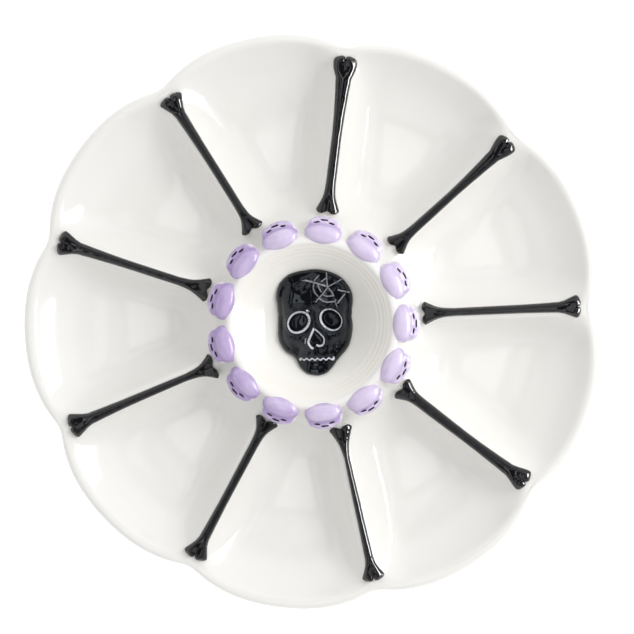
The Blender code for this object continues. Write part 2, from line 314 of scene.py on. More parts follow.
def white_glaze(colours):
    """Glossy white with faint warm patches, a warmer bowl painted lighter towards its middle to lift the
    shade there, and bare clay on the foot.
    """
    material, shader, place = new_glaze("white glaze")
    height = place.node("ShaderNodeSeparateXYZ", {}, {0: place}, output=2)
    bare = 1 - height.step(*BARE_FOOT)
    grain = place.cloud(900.0, 3.0)
    away = place.stretch((1.0, 1.0, 0.0)).length()
    # Inside the bowl the white is warmer, and painted lighter towards the middle: painted light that lifts
    # the shade in the bowl and around its skull
    pooled = away.step(*BOWL_GLAZE)
    dish = place.cloud(11.0).colours(rgba(colours.white_cool), rgba(colours.white_warm))
    bowl = away.step(*BOWL_LIT_MIDDLE).colours(rgba(colours.white_wall), rgba(colours.white_bowl_lit))
    bare.colours(pooled.colours(dish, bowl), rgba(colours.clay)).feed(shader, "Base Color")
    (place.cloud(34.0) * 0.05 + 0.09 + bare * 0.7 + pooled * 0.08).feed(shader, "Roughness")
    (place.cloud(42.0, 1.0) + bare * grain * 0.6).bump(shader, 0.12, 1.2 * MM)
    return material


def black_glaze(colours):
    """Deep black gloss that pools unevenly."""
    material, shader, place = new_glaze("black glaze")
    pooled = place.cloud(120.0)
    pooled.colours(rgba(colours.black), rgba(colours.black_thin)).feed(shader, "Base Color")
    (pooled * 0.04 + 0.03).feed(shader, "Roughness")
    shader.inputs["Specular IOR Level"].default_value = 0.62
    place.cloud(260.0, 1.0).bump(shader, 0.26, 0.9 * MM)
    return material


def painted_black_glaze(colours):
    """Black gloss with thin white lines brushed over it."""
    material, shader, place = new_glaze("black glaze with white lines")
    pooled = place.cloud(120.0)
    brush = place.cloud(700.0, 3.0, 0.6)
    edge = attribute(place, "line", 2) + (brush - 0.5) * LINE_RAGGED
    painted = (1 - edge.step(-LINE_FADE, LINE_FADE)) * attribute(place, "cover", 2)
    cover = painted * brush.step(0.22, 0.52)
    black = (pooled * 0.3).colours(rgba(colours.black), rgba(colours.black_thin))
    cover.colours(black, rgba(colours.line)).feed(shader, "Base Color")
    (pooled * 0.03 + 0.03 + cover * 0.2).feed(shader, "Roughness")
    shader.inputs["Specular Tint"].default_value = (0.84, 0.92, 1.0, 1.0)
    place.cloud(160.0, 1.0).bump(shader, 0.25, 1.0 * MM)
    return material


def lilac_glaze(colours):
    """Streaky lilac gloss with black dabs for eyes, nose and mouth, and painted shade on the skulls away from
    the light and in their creases.
    """
    material, shader, place = new_glaze("lilac glaze")
    local = attribute(place, "skull_place", 1)
    streaks = local.stretch((90.0, 330.0, 330.0)).cloud(1.0, 3.0, 0.55)
    patches = local.cloud(130.0, 1.0)
    # The pale attribute carries chance and painted shade: it is lower on the skulls away from the light and
    # in their creases
    mottled = (streaks * 0.65 + patches * 0.35 - 0.5) * 1.3 + attribute(place, "pale", 2)
    lilac = mottled.step(0.0, 1.0).colours(rgba(colours.lilac), rgba(colours.lilac_pale))
    thin = attribute(place, "thin", 2)
    worn = (thin + (streaks - 0.5) * 0.9).step(0.1, 0.9).colours(lilac, rgba(colours.lilac_thin))
    ragged = attribute(place, "dab", 2) + (local.cloud(900.0) - 0.5) * DAB_RAGGED
    dab = 1 - ragged.step(-DAB_FADE, DAB_FADE)
    dab.colours(worn, rgba(colours.dab)).feed(shader, "Base Color")
    (patches * 0.12 + 0.2).feed(shader, "Roughness")
    shader.inputs["Specular IOR Level"].default_value = 0.32
    local.cloud(220.0, 1.0).bump(shader, 0.15, 0.6 * MM)
    return material


def length_property(name, description, default):
    return FloatProperty(name=name, description=description, default=default, unit="LENGTH")


def angle_property(name, description, default):
    return FloatProperty(name=name, description=description, default=default, subtype="ANGLE")


def colour_property(name, description, default):
    return FloatVectorProperty(
        name=name, description=description, default=default, subtype="COLOR", min=0.0, max=1.0,
    )


class DishSizes(bpy.types.PropertyGroup):
    """Main sizes of the dish"""

    lobe_radius: length_property(
        "Lobe radius", "From the middle to the crown of a lobe", -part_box("plate_body")[0].y
    )
    notch_depth: length_property("Notch depth", "How far the rim dips between two lobes", 6.5 * MM)
    rim_height: length_property("Rim height", "Height of the rim over the table", 37 * MM)
    floor_height: length_property("Floor height", "Height of a compartment's floor", 11 * MM)
    wall: length_property("Wall", "Thickness of the clay", 5.8 * MM)
    bowl_radius: length_property("Bowl radius", "Radius of the dip bowl's mouth", 40.5 * MM)
    bowl_height: length_property("Bowl height", "Height of the dip bowl's lip over the table", 44.5 * MM)
    foot_radius: length_property("Foot radius", "Radius of the foot ring's middle", 83 * MM)


class SprigSizes(bpy.types.PropertyGroup):
    """Main sizes of the moulded sprigs"""

    bone_start: length_property(
        "Bone start", "From the middle to a bone's inner end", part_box("bone_1")[0].y - 1.2 * MM
    )
    bone_end: length_property("Bone end", "From the middle to a bone's outer end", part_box("bone_1")[1].y)
    bone_width: length_property("Bone width", "Width of a bone's shaft", 4.3 * MM)
    skull_count: IntProperty(name="Skulls", description="Small skulls around the bowl", default=13, min=3)
    skull_ring: length_property("Skull ring", "Radius of the ring of small skulls", 47.8 * MM)
    skull_height: length_property("Skull height", "Height of a small skull's middle", 41 * MM)
    skull_lean: angle_property("Skull lean", "How far a small skull leans outwards", math.radians(9))
    bowl_skull_rise: length_property(
        "Bowl skull rise", "Height of the bowl's skull over the bowl's floor", 9.5 * MM
    )
    bowl_skull_turn: angle_property(
        "Bowl skull turn", "Turn of the bowl's skull about the middle", math.radians(12)
    )


class GlazeColours(bpy.types.PropertyGroup):
    """Colours of the glazes and the clay"""

    white_cool: colour_property("White", "White glaze where it is cool", (0.90, 0.895, 0.87))
    white_warm: colour_property("Warm white", "White glaze where it is warm", (0.905, 0.89, 0.855))
    # The bowl's whites are warmer than the dish's and painted lighter, most towards the middle, to lift the
    # shade in the bowl
    white_bowl_lit: colour_property("Bowl white", "White glaze pooled in the bowl", (0.985, 0.968, 0.92))
    white_wall: colour_property("Bowl wall white", "White glaze on the bowl's wall", (0.93, 0.91, 0.85))
    clay: colour_property("Clay", "Bare clay of the foot", (0.74, 0.68, 0.58))
    black: colour_property("Black", "Black glaze where it is thick", (0.003, 0.0032, 0.0048))
    black_thin: colour_property("Thin black", "Black glaze where it is thin", (0.007, 0.007, 0.009))
    line: colour_property("Line", "White lines on the bowl's skull", (0.72, 0.74, 0.80))
    # The dark lilac also stands for the painted shade on the skulls away from the light and in their creases
    lilac: colour_property("Lilac", "Lilac glaze where it is thick", (0.46, 0.345, 0.62))
    lilac_pale: colour_property("Pale lilac", "Lilac glaze in its pale streaks", (0.745, 0.655, 0.86))
    lilac_thin: colour_property("Thin lilac", "Lilac glaze where it is worn thin", (0.88, 0.85, 0.89))
    dab: colour_property("Dab", "Dabs on the small skulls", (0.02, 0.015, 0.025))


class StageSettings(bpy.types.PropertyGroup):
    """Camera, light and floor"""

    distance: length_property("Camera distance", "From the camera to the plate", 2.2)
    tilt: angle_property("Camera tilt", "Lean of the view from straight down", math.radians(6.4))
    turn: angle_property("Camera turn", "Side of the plate that the view leans from", math.radians(63))
    roll: angle_property("Camera roll", "Turn of the picture", math.radians(6.83))
    span: length_property("Span", "Width of the picture at the plate", 327 * MM)
    across: length_property("Across", "Shift of the view to the right", 1.65 * MM)
    along: length_property("Along", "Shift of the view upwards", 2.05 * MM)
    floor: colour_property("Floor", "Colour of the floor", (0.9, 0.9, 0.9))


class DishForm:
    """Surfaces of the dish over arrays of radii and angles."""

    def __init__(self, sizes):
        self.lobe_radius = sizes.lobe_radius
        self.notch_depth = sizes.notch_depth
        self.rim_height = sizes.rim_height
        self.floor_height = sizes.floor_height
        self.wall = sizes.wall
        self.mouth = sizes.bowl_radius
        self.bowl_height = sizes.bowl_height
        self.foot_radius = sizes.foot_radius
        self.notch_radius = sizes.lobe_radius - sizes.notch_depth
        self.lip = sizes.bowl_radius + LIP_WIDTH
        self.lip_edge = sizes.bowl_height - LIP_ROUND
        self.crest_start = self.lip + SIDE_RUN

    def off_divider(self, angle):
        """Angle to the nearest divider."""
        turn = np.mod(angle - FIRST_DIVIDER, 2 * HALF_LOBE)
        return np.minimum(turn, 2 * HALF_LOBE - turn)

    def edge(self, angle):
        """Radius of the rim's outer edge, which dips into a rounded notch at each divider."""
        t = 1 - self.off_divider(angle) / HALF_LOBE
        slope = LOBE_POWER * NOTCH_SHARE ** (LOBE_POWER - 1)
        run = np.maximum(t - NOTCH_SHARE, 0)
        dip = np.minimum(t, NOTCH_SHARE) ** LOBE_POWER + slope * (run - run * run / (2 * (1 - NOTCH_SHARE)))
        deepest = NOTCH_SHARE ** LOBE_POWER + slope * (1 - NOTCH_SHARE) / 2
        return self.lobe_radius - self.notch_depth * dip / deepest

    def crest(self, radius):
        """Height of a divider's crest, which falls from the rim to the bowl."""
        return self.rim_height - CREST_FALL * (1 - share(radius, self.crest_start, self.notch_radius))

    def fall(self, distance, reach):
        """Share of its height that a wall has lost at a distance from its edge, with the edge rounded."""
        outside = 1 - (1 - share(distance, 0, reach)) ** FLANK_POWER
        lost = np.where(distance < 0, FLANK_POWER * distance / reach, outside)
        return smooth_max(lost, 0.0, CREST_ROUND)

    def bend(self, radius):
        """Rise of a flat floor that bends up softly to a straight wall."""
        start, end = BOWL_BEND
        t = share(radius, start, end)
        return (end - start) * t ** 3 * (1 - t / 2) + np.maximum(radius - end, 0)

    def bowl(self, radius):
        """Height of the bowl's inside, its lip and its outer side."""
        inside = between(BOWL_FLOOR, self.lip_edge, self.bend(radius) / self.bend(self.mouth))
        across = 2 * (radius - self.mouth) / LIP_WIDTH - 1
        lip = self.bowl_height - LIP_ROUND * np.abs(np.clip(across, -1, 1)) ** 2.4
        drop = self.lip_edge - self.crest(self.crest_start)
        side = self.lip_edge - drop * (radius - self.lip) / SIDE_RUN
        return np.where(radius <= self.mouth, inside, np.where(radius <= self.lip, lip, side))

    def top(self, radius, angle):
        crest = self.crest(radius)
        beside = radius * np.sin(self.off_divider(angle))
        sides = self.fall(beside - CREST_WIDTH / 2, FLANK_REACH)
        inner = self.fall(radius - self.crest_start, FILLET_REACH)
        run = self.edge(angle) - RIM_BAND - FLOOR_RADIUS
        rise = (np.maximum(radius - FLOOR_RADIUS, 0) / run) ** 2
        floor = between(crest, self.floor_height, sides * inner * (1 - rise))
        floor = smooth_min(floor, self.rim_height, RIM_ROUND)
        whole = smooth_max(self.bowl(radius), floor, SIDE_BLEND)
        return np.where(radius <= self.lip, self.bowl(radius), whole)

    def under(self, radius, angle):
        """Underside: it follows the floor, with a groove under each divider and a channel under the bowl."""
        channel = ease(share(np.abs(radius - self.lip), 0, CHANNEL_REACH))
        middle = between(CHANNEL_HEIGHT, BOWL_FLOOR - self.wall, channel)
        roof = between(CHANNEL_HEIGHT, self.crest(radius) - self.wall, channel)
        grooves = ease(share(radius * np.sin(self.off_divider(angle)), 0, GROOVE_REACH))
        scoop = 1 - share(radius, FLOOR_RADIUS, self.edge(angle) - self.wall / 2) ** 2
        lobes = between(roof, self.floor_height - self.wall, grooves * channel * scoop)
        return np.where(radius > self.lip, lobes, middle)

    def columns(self, radius):
        """Angles of a ring's columns, which run alongside each divider and spread evenly over the lobes."""
        t = np.arange(HALF_LOBE_COLUMNS + 1) / HALF_LOBE_COLUMNS
        line = COLUMN_SPREAD * np.sin(HALF_LOBE * t) / max(radius, self.crest_start)
        even = HALF_LOBE * t
        half = between(even, np.arcsin(np.clip(line, 0, 1)), (1 - t) ** 2)
        lobe = np.concatenate((half[:-1], 2 * HALF_LOBE - half[:0:-1]))
        starts = FIRST_DIVIDER + 2 * HALF_LOBE * np.arange(LOBE_COUNT)
        return (starts[:, None] + lobe[None, :]).ravel()

    def circle(self, radius, surface):
        angle = self.columns(radius)
        radii = np.full_like(angle, radius)
        return radii, angle, surface(radii, angle)

    def circles(self, start, end, shares, surface):
        """Rings on a surface, at shares of the way from one radius to another."""
        return [self.circle(between(start, end, t), surface) for t in shares]

    def lobed(self, t, band, surface):
        """Ring on a surface, t of the way from the deepest circle to a band inside the rim's edge."""
        angle = self.columns(between(FLOOR_RADIUS, self.notch_radius, t))
        radii = between(FLOOR_RADIUS, self.edge(angle) - band, t)
        return radii, angle, surface(radii, angle)

    def rim(self, turn):
        """Ring round the rim's half-round edge, turn from straight up to straight down."""
        angle = self.columns(self.notch_radius)
        radii = self.edge(angle) - self.wall / 2 * (1 - math.sin(turn))
        height = self.rim_height - self.wall / 2 * (1 - math.cos(turn))
        return radii, angle, np.full_like(angle, height)

    def top_rings(self):
        """Rings over the top, from the middle of the bowl to the rim."""
        fillet_end = self.crest_start + FILLET_REACH
        rings = self.circles(0.0, RIPPLE_START, np.linspace(0, 1, 18) ** 0.75, self.top)
        rings += self.circles(RIPPLE_START, self.mouth, np.linspace(0.03, 1, 32), self.top)
        rings += self.circles(self.mouth, self.lip, np.linspace(0.1, 1, 10), self.top)
        rings += self.circles(self.lip, self.crest_start, np.linspace(0.12, 1, 8), self.top)
        rings += self.circles(self.crest_start, fillet_end, np.linspace(0.03, 1, 25), self.top)
        rings += self.circles(fillet_end, FLOOR_RADIUS, np.linspace(0.08, 1, 13), self.top)
        outwards = 1 - (1 - np.linspace(0.022, 1, 46)) ** 1.3
        return rings + [self.lobed(t, self.wall / 2, self.top) for t in outwards]

    def under_rings(self):
        """Rings round the rim, then under it and over the foot to the middle."""
        rings = [self.rim(math.pi * t) for t in np.linspace(0.07, 1, 14)]
        rings += [self.lobed(t, self.wall / 2, self.under) for t in np.linspace(0.94, 0, 16)]
        half, foot = FOOT_WIDTH / 2, self.foot_radius
        rings += [self.circle(foot + half + FOOT_DRAFT, self.under)]
        rings += self.foot_rings(half, foot)
        rings += [self.circle(foot - half - FOOT_DRAFT, self.under)]
        return rings + self.circles(foot - half - 2 * FOOT_DRAFT, 0.0, np.linspace(0, 1, 24), self.under)

    def foot_rings(self, half, foot):
        """Rings round the foot, with its two edges rounded."""
        edge = (
            (half + 0.35 * FOOT_DRAFT, 3 * FOOT_ROUND),
            (half, FOOT_ROUND),
            (half - 0.3 * FOOT_ROUND, 0.3 * FOOT_ROUND),
            (half - FOOT_ROUND, 0.0),
        )
        corners = (*edge, *((-off, lift) for off, lift in reversed(edge)))
        angle = self.columns(foot)
        return [(np.full_like(angle, foot + off), angle, np.full_like(angle, lift)) for off, lift in corners]


def hand_made(points, upper):
    """Give the upper points a potter's faint waves, and the inside of the bowl its throwing rings."""
    waves = np.array([noise.noise(Vector(point) * WAVE_SCALE) for point in points])
    lifts = waves * WAVE_HEIGHT
    radii = np.hypot(points[:, 0], points[:, 1])
    mean, swing = RIPPLE_SHARE
    marked = mean + swing * np.cos(np.arctan2(points[:, 1], points[:, 0]) - RIPPLE_SIDE)
    for radius, height in RIPPLES:
        lifts += marked * height * MM * np.exp(-(((radii - radius * MM) / RIPPLE_WIDTH) ** 2))
    return points + np.outer(lifts * upper, (0.0, 0.0, 1.0))


class TAPAS_OT_dish(bpy.types.Operator):
    """Spin the dish and press its lobes, dividers and bowl into it"""

    bl_idname = "tapas_plate.dish"
    bl_label = "Dish"

    def execute(self, context):
        form = DishForm(context.scene.tapas_dish)
        top = form.top_rings()
        rings = top + form.under_rings()
        profile = [(radii[HALF_LOBE_COLUMNS], height[HALF_LOBE_COLUMNS]) for radii, angle, height in rings]
        dish, ring, column = spin_blank("dish", profile, DISH_COLUMNS)
        table = np.array(rings)
        radius, angle, height = table[ring, 0, column], table[ring, 1, column], table[ring, 2, column]
        points = np.stack((radius * np.cos(angle), radius * np.sin(angle), height), axis=1)
        press(dish.data, hand_made(points, ring < len(top) - STILL_RINGS))
        finish_piece(dish, white_glaze(context.scene.tapas_colours), "white_glaze", "plate_body")
        return {"FINISHED"}


# Bone, along +X from its inner end. Sections: distance from an end, then width and height against the shaft's
INNER_SECTIONS = ((16.0, 1.0, 1.0), (11.0, 1.1, 1.0), (7.5, 1.45, 1.04), (4.2, 2.1, 1.1), (1.7, 2.6, 1.14))
OUTER_SECTIONS = ((16.0, 1.0, 1.0), (11.0, 1.15, 1.02), (7.5, 1.6, 1.12), (4.6, 2.3, 1.24), (3.0, 2.6, 1.28))
BONE_HEIGHT = 3.3 * MM
BONE_SINK = 2.2 * MM
# The block that a bone starts from is this much shorter, and this much wider than the shaft
BLOCK_SHORTER = 50 * MM
BLOCK_WIDER = 1.12
# How far the top edges are drawn in and down
BONE_SHOULDER = (0.7, 0.3)
# Knuckles: how far each step reaches out and aside, then its width and height against the last step's
INNER_LOBES = ((0.8, 0.5, 0.8, 0.92), (0.8, 0.7, 0.58, 0.66))
OUTER_LOBES = ((0.9, 0.05, 1.0, 0.97), (2.0, -0.1, 0.84, 0.4))
BONE_VALLEY = 1.4 * MM
VALLEY_REACH = 9 * MM
BONE_RIDGE = 0.5 * MM
RIDGE_FADE = (4 * MM, 12 * MM)
BONE_SWAY = 0.35
SAME_PLACE = 0.01 * MM
NEARLY = 0.1 * MM
# How far the inner and the outer end of each bone lie beside their divider
BONE_OFFSETS = (
    (-0.2, -0.6), (0.5, -1.3), (1.0, -1.1), (1.3, 1.4), (1.8, 0.15),
    (0.8, 0.3), (-0.4, 0.0), (1.1, 1.3), (-0.2, -0.7),
)
# Girth of each bone against the pattern: inner knuckle, neck and shaft, then outer shaft, neck and knuckle
GIRTH_INNER = (1.5, 8.0, 17.0)
GIRTH_OUTER = (41.0, 9.0, 2.5)
BONE_GIRTHS = (
    (1.0, 1.35, 1.3, 1.2, 1.6, 1.0),
    (1.05, 1.1, 1.1, 1.05, 1.1, 1.1),
    (1.05, 1.35, 1.1, 1.05, 1.2, 1.1),
    (1.15, 1.2, 1.0, 1.05, 1.2, 1.1),
    (1.05, 1.15, 1.15, 1.05, 1.05, 1.1),
    (1.0, 1.25, 0.75, 0.9, 0.9, 1.0),
    (1.05, 1.3, 1.45, 1.2, 1.25, 1.0),
    (1.0, 1.2, 1.05, 1.05, 1.05, 1.0),
    (1.0, 1.2, 1.2, 1.05, 1.35, 0.95),
)
# Where a bone's width is measured, and how much it may be stretched across
WIDTH_STATIONS = 160
WIDTH_MARGIN = 0.5 * MM
WIDTH_REACH = 1.2 * MM
STRETCH_LIMITS = (0.6, 1.6)
# Widths of a bone of PATTERN_WIDTH, at distances from its inner end, then from its outer end
PATTERN_WIDTH = 4.3 * MM
INNER_WIDTHS = (
    (0.5, 10.8), (1.5, 12.0), (2.5, 11.7), (6.5, 7.2), (8.0, 5.9), (10.0, 4.9), (13.0, 4.3), (16.0, 4.0),
)
OUTER_WIDTHS = (
    (0.5, 7.5), (1.0, 9.7), (2.0, 11.4), (3.0, 11.8), (4.5, 11.4), (6.0, 10.1),
    (8.5, 7.6), (10.5, 6.2), (12.0, 5.5), (18.5, 4.85), (31.0, 4.3),
)


def select_only(shape, parts):
    """Select some faces or vertices of the mesh being edited, and nothing else."""
    chosen = list(parts)
    for part in (*shape.faces, *shape.edges, *shape.verts):
        part.select_set(False)
    for part in chosen:
        part.select_set(True)
    shape.select_flush_mode()
    return chosen


class TAPAS_OT_bones(bpy.types.Operator):
    """Box-model one bone and lay a copy of it, with a girth of its own, along each divider"""

    bl_idname = "tapas_plate.bones"
    bl_label = "Bones"

    def execute(self, context):
        sizes = context.scene.tapas_sprigs
        form = DishForm(context.scene.tapas_dish)
        rise = form.crest(sizes.bone_end) - form.crest(sizes.bone_start)
        run = sizes.bone_end - sizes.bone_start
        length = math.hypot(run, rise)
        bone = self.model_bone(length, sizes.bone_width)
        material = black_glaze(context.scene.tapas_colours)
        shaped = coordinates(bone.data)
        lean = Matrix.Rotation(-math.atan2(rise, run), 4, "Y")
        draw = random.Random(7)
        stations = (*GIRTH_INNER, *(length / MM - distance for distance in GIRTH_OUTER))
        for k in range(LOBE_COUNT):
            angle = FIRST_DIVIDER + 2 * HALF_LOBE * k
            start = Matrix.Translation((sizes.bone_start, 0.0, form.crest(sizes.bone_start)))
            place = np.array(Matrix.Rotation(angle, 4, "Z") @ start @ lean)
            t = shaped[:, 0] / length
            inner, outer = BONE_OFFSETS[k]
            sway = draw.uniform(-BONE_SWAY, BONE_SWAY) * np.sin(math.pi * t)
            bowed = shaped + np.outer(between(inner, outer, t) + sway, (0.0, MM, 0.0))
            bowed[:, 1] += shaped[:, 1] * (np.interp(shaped[:, 0] / MM, stations, BONE_GIRTHS[k]) - 1)
            points = bowed @ place[:3, :3].T + place[:3, 3]
            piece = copy_piece(bone, f"bone_sprig_{k + 1}", points)
            finish_piece(piece, material, "black_glaze", f"bone_{k + 1}")
        bpy.data.objects.remove(bone)
        return {"FINISHED"}

    def model_bone(self, length, width):
        """Bone along +X from the origin, with two knuckles at each end, on the plane that it rests on."""
        deselect_all()
        bpy.ops.mesh.primitive_cube_add(size=1.0, location=(length / 2, 0.0, 0.0))
        bone = bpy.context.object
        bpy.ops.object.mode_set(mode="EDIT")
        bpy.ops.mesh.subdivide(number_cuts=1)
        block = (length - BLOCK_SHORTER, BLOCK_WIDER * width, BONE_HEIGHT + BONE_SINK)
        bpy.ops.transform.resize(value=block, center_override=(length / 2, 0, 0))
        bpy.ops.transform.translate(value=(0.0, 0.0, (BONE_HEIGHT - BONE_SINK) / 2))
        bpy.ops.object.mode_set(mode="OBJECT")
        bpy.ops.object.transform_apply(location=True, rotation=True, scale=True)
        bpy.ops.object.mode_set(mode="EDIT")
        self.round_shoulders(bone, length)
        self.model_end(bone, 0.0, 1, INNER_SECTIONS, INNER_LOBES)
        self.model_end(bone, length, -1, OUTER_SECTIONS, OUTER_LOBES)
        bpy.ops.object.mode_set(mode="OBJECT")
        modifier = bone.modifiers.new("rounding", "SUBSURF")
        modifier.levels = 3
        modifier.render_levels = 3
        bpy.ops.object.modifier_apply(modifier=modifier.name)
        self.fit_width(bone, length, width)
        self.ridge_ends(bone, length, width)
        return bone

    def fit_width(self, bone, length, width):
        """Stretch the bone across to the widths that it has along its length."""
        points = coordinates(bone.data)
        wanted = self.wanted_width(points[:, 0], length, width)
        stations = np.linspace(WIDTH_MARGIN, length - WIDTH_MARGIN, WIDTH_STATIONS)
        found = np.array([self.width_at(points, station) for station in stations])
        stretch = wanted / np.interp(points[:, 0], stations, found)
        points[:, 1] *= np.clip(stretch, *STRETCH_LIMITS)
        press(bone.data, points)

    def wanted_width(self, along, length, width):
        """Width that the bone has at distances along it."""
        inner = np.array(INNER_WIDTHS) * MM
        outer = np.array(OUTER_WIDTHS[::-1]) * MM
        stations = np.concatenate((inner[:, 0], length - outer[:, 0]))
        widths = np.concatenate((inner[:, 1], outer[:, 1]))
        return np.interp(along, stations, widths) * width / PATTERN_WIDTH

    def ridge_ends(self, bone, length, width):
        """Raise a ridge along the back of each knuckle, with a valley between the two."""
        points = coordinates(bone.data)
        across = np.clip(2 * np.abs(points[:, 1]) / self.wanted_width(points[:, 0], length, width), 0, 1)
        ridge = 1 - 2 * np.abs(2 * across - 1)
        away = np.minimum(points[:, 0], length - points[:, 0])
        near = 1 - share(away, *RIDGE_FADE)
        back = share(points[:, 2], 0.0, 0.6 * BONE_HEIGHT)
        points[:, 2] += BONE_RIDGE * ridge * near * back
        press(bone.data, points)

    def width_at(self, points, station):
        """Width of the bone near a station along it, from the vertices on its sides there."""
        away = np.abs(points[:, 0] - station)
        near = away < max(WIDTH_REACH, away.min() + NEARLY)
        return 2 * np.abs(points[near, 1]).max()

    def round_shoulders(self, bone, length):
        """Draw the two top edges in and down, so that the shaft has a rounded back."""
        shape = bmesh.from_edit_mesh(bone.data)
        edges = (vertex for vertex in shape.verts if vertex.co.z > BONE_HEIGHT - NEARLY)
        select_only(shape, (vertex for vertex in edges if abs(vertex.co.y) > NEARLY))
        narrow, lower = BONE_SHOULDER
        bpy.ops.transform.resize(value=(1.0, narrow, 1.0), center_override=(length / 2, 0.0, BONE_HEIGHT))
        bpy.ops.transform.translate(value=(0.0, 0.0, -lower * BONE_HEIGHT))

    def model_end(self, bone, end, inward, sections, lobes):
        """Draw one end out to its two knuckles, with a valley between them."""
        shape = bmesh.from_edit_mesh(bone.data)
        outer = min if inward > 0 else max
        middle = (BONE_HEIGHT - BONE_SINK) / 2
        wide, tall = 1.0, 1.0
        for distance, widen, heighten in sections:
            tip = outer(vertex.co.x for vertex in shape.verts)
            select_only(shape, (face for face in shape.faces if self.is_end(face, tip)))
            reach = end + inward * distance * MM - tip
            bpy.ops.mesh.extrude_region_move(TRANSFORM_OT_translate={"value": (reach, 0.0, 0.0)})
            bpy.ops.transform.resize(
                value=(1.0, widen / wide, heighten / tall), center_override=(tip + reach, 0.0, middle)
            )
            wide, tall = widen, heighten
        base = outer(vertex.co.x for vertex in shape.verts)
        for side in (-1, 1):
            tip = base
            for reach, spread, narrow, lower in lobes:
                ends = (face for face in shape.faces if self.is_end(face, tip))
                chosen = select_only(shape, (face for face in ends if face.calc_center_median().y * side > 0))
                heart = sum((face.calc_center_median() for face in chosen), Vector()) / len(chosen)
                move = Vector((-inward * reach * MM, side * spread * MM, 0.0))
                bpy.ops.mesh.extrude_region_move(TRANSFORM_OT_translate={"value": move})
                bpy.ops.transform.resize(value=(1.0, narrow, lower), center_override=heart + move)
                tip += move.x
        crown = (vertex for vertex in shape.verts if vertex.co.z > middle + 0.5 * MM)
        near = (vertex for vertex in crown if abs(vertex.co.x - end) < VALLEY_REACH)
        select_only(shape, (vertex for vertex in near if abs(vertex.co.y) < SAME_PLACE))
        bpy.ops.transform.translate(value=(0.0, 0.0, -BONE_VALLEY))

    def is_end(self, face, tip):
        """Whether a face closes the bone off at a distance along it."""
        return all(abs(vertex.co.x - tip) < SAME_PLACE for vertex in face.verts)


# Small skull, in millimetres about its middle: +X to its left, +Y to its chin, +Z up
SKULL_BASE = ((0.0, 0.4, -1.3), (9.5, 7.1, 3.9))
SKULL_CRANIUM = ((0.0, -1.8, 0.7), (9.3, 5.1, 5.7))
SKULL_CHEEK = ((5.4, 3.4, 1.0), (2.2, 1.9, 1.5))
SKULL_MUZZLE = ((0.0, 5.4, 0.5), (4.2, 1.6, 1.9))
SKULL_EYE = ((3.85, 3.9, 3.1), (1.7, 0.7, 0.8))
SKULL_NOSE = ((0.0, 5.3, 2.8), (1.9, 0.5, 0.5))
SKULL_TEMPLE = ((9.9, 1.6, 2.0), (1.1, 0.7, 1.8))
SKULL_MOUTH = ((0.0, 6.6, 2.0), (3.2, 0.3, 1.0))
SKULL_FULLNESS = (2.35, 2.15)
SKULL_BLEND = 2.5
# Forms added to a small skull, then cut out of it: whether each has a twin, and how soft its edge is
SKULL_ADDED = ((SKULL_CHEEK, True, 1.6), (SKULL_MUZZLE, False, 1.6))
SKULL_HOLLOWS = (
    (SKULL_TEMPLE, True, 1.5), (SKULL_EYE, True, 0.8), (SKULL_NOSE, False, 0.6), (SKULL_MOUTH, False, 0.5),
)
# The ball that it is pressed from, and the steps in which its points close in on the skin
SKULL_CUTS = 38
SKULL_HEART = (0.0, 0.0, -0.8)
SKULL_OUTSIDE = 16.0
PRESS_STEPS = 70
PRESS_SHARE = 0.8
# How much its lean and nod differ by chance, and how far the glaze's pattern shifts from skull to skull
LEAN_CHANCE = 0.05
NOD_CHANCE = 0.06
SKULL_PATTERN_SHIFT = (0.1, 0.03, 0.07)
# Lilac: how pale it is, how much less on the side away from the light, as painted shade, and how much that
# differs by chance
LILAC_PALE = 0.8
LILAC_SHADE = 0.48
LILAC_CHANCE = 0.06
SHADED_SIDE = math.radians(200)
# Heights between which the glaze wears thin, and the crease where the cranium meets the base, which gets
# painted shade
THIN_GLAZE = (2.2, -0.8)
CREASE_PLACE = 0.6
CREASE_REACH = 2.2
CREASE_END = -2.0
CREASE_SHADE = 1.7
# Dabs, as upright pillars of glaze that reach down to the skin
DAB_EYE = ((3.85, 3.9, 0.0), (1.6, 0.52, 60.0))
DAB_NOSE = ((0.0, 5.3, 0.0), (2.1, 0.5, 60.0))
DAB_MOUTH = ((0.0, 6.7, 0.0), (2.9, 0.24, 60.0))
DAB_SLANT = 0.22
NO_DAB = 5.0


def ball_distance(points, ball, mirror=False, fullness=2.0):
    """Rough distance from points to an ellipsoid, boxier if fuller, or to it and its twin across X."""
    middle, radii = np.array(ball[0]), np.array(ball[1])
    at = points.copy()
    if mirror:
        at[:, 0] = np.abs(at[:, 0])
    inside = np.maximum(np.abs(at - middle) / radii, 1e-6)
    near = (inside ** fullness).sum(axis=1) ** (1 / fullness)
    slope = near ** (1 - fullness) * np.linalg.norm(inside ** (fullness - 1) / radii, axis=1)
    return (near - 1) / slope


def small_skull_distance(points):
    """Rough distance from points to the small skull's skin."""
    base_fullness, cranium_fullness = SKULL_FULLNESS
    base = ball_distance(points, SKULL_BASE, fullness=base_fullness)
    cranium = ball_distance(points, SKULL_CRANIUM, fullness=cranium_fullness)
    skin = smooth_min(base, cranium, SKULL_BLEND)
    for form, mirror, blend in SKULL_ADDED:
        skin = smooth_min(skin, ball_distance(points, form, mirror), blend)
    for form, mirror, blend in SKULL_HOLLOWS:
        skin = smooth_max(skin, -ball_distance(points, form, mirror), blend)
    return skin


